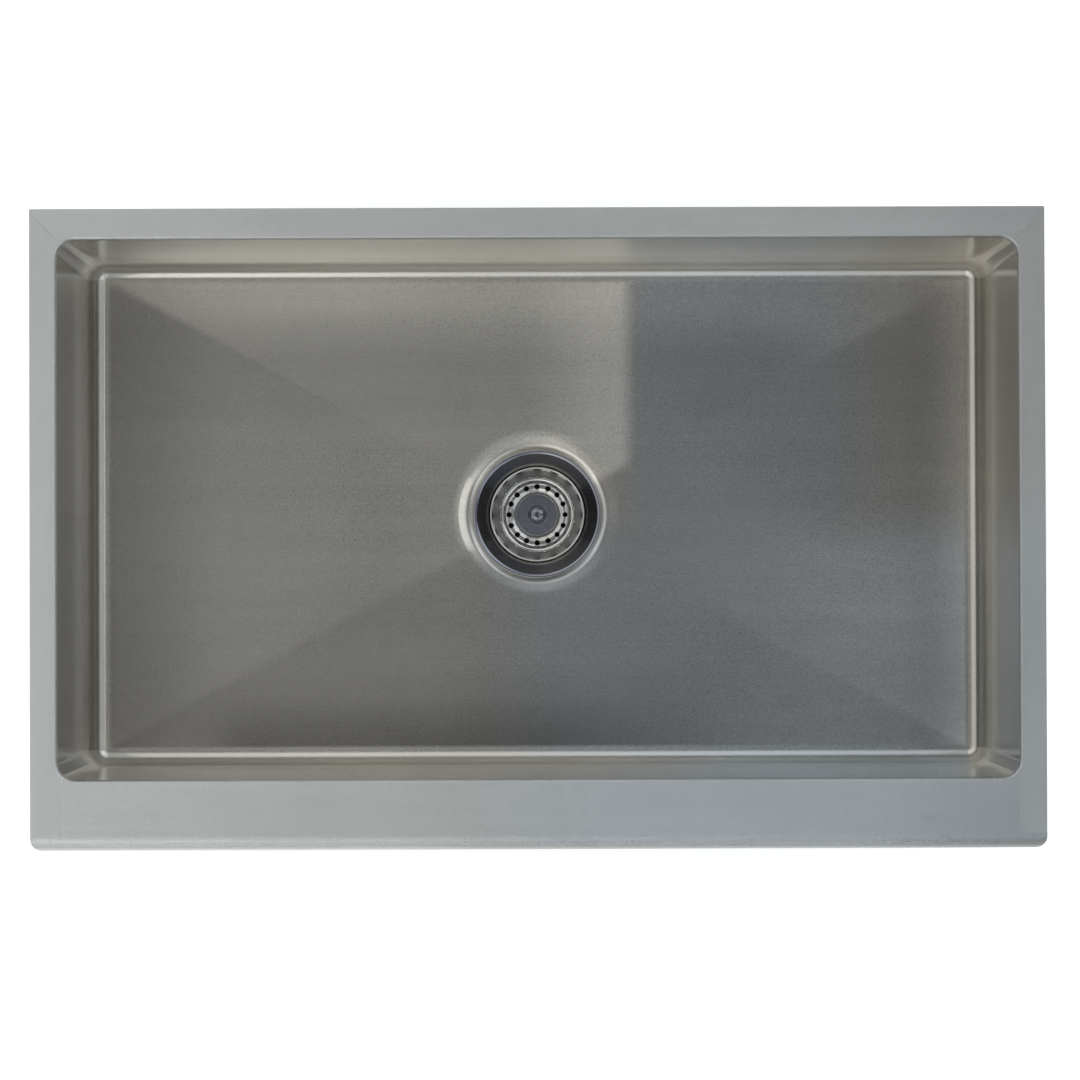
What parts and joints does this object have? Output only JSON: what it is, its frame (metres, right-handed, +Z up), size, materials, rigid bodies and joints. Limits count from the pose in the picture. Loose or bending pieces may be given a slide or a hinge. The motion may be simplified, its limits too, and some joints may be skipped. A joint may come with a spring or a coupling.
{
  "type": "farmhouse apron front sink",
  "caption": "Single-bowl steel kitchen sink with a deep apron front, a centred drain and a basket strainer that lifts out and turns.",
  "frame": {"origin": "centre of the bowl's opening on the deck's top face", "axes": "+Z up out of the bowl, +Y to the back edge, the apron faces -Y, +X to the right seen from the front"},
  "size_m": [0.838, 0.53, 0.3248],
  "materials": {
    "sink_steel": "brushed",
    "polished_steel": "polished",
    "plain_steel": "satin",
    "nut_brass": "machined",
    "black_rubber": "matte",
    "pad_rubber": "matte",
    "fibre": "matte"
  },
  "bodies": {
    "sink": {"bowl": "sink_steel", "apron_front": "sink_steel", "pad_floor_right": "pad_rubber", "pad_floor_left": "pad_rubber", "pad_wall_right": "pad_rubber", "pad_wall_left": "pad_rubber", "pad_wall_back": "pad_rubber", "pad_wall_front": "pad_rubber", "strainer_body": "polished_steel", "flange_seal": "black_rubber", "rubber_gasket": "black_rubber", "friction_ring": "fibre", "lock_nut": "nut_brass", "outlet_crossbar": "plain_steel", "tailpiece_washer": "black_rubber", "coupling_nut": "nut_brass"},
    "stem_assembly": {"stem": "plain_steel", "stopper": "black_rubber", "stopper_washer": "plain_steel", "stem_nut": "plain_steel"},
    "basket": {"basket_cup": "polished_steel", "knob": "polished_steel", "knob_washer": "plain_steel"}
  },
  "joints": [
    {"name": "basket_lift", "type": "slide", "parent": "sink", "child": "stem_assembly", "axis": [0, 0, 1], "range_m": [0, 0.1]},
    {"name": "basket_turn", "type": "hinge", "parent": "stem_assembly", "child": "basket", "pos_m": [0, 0, -0.27], "axis": [0, 0, 1], "continuous": true}
  ]
}
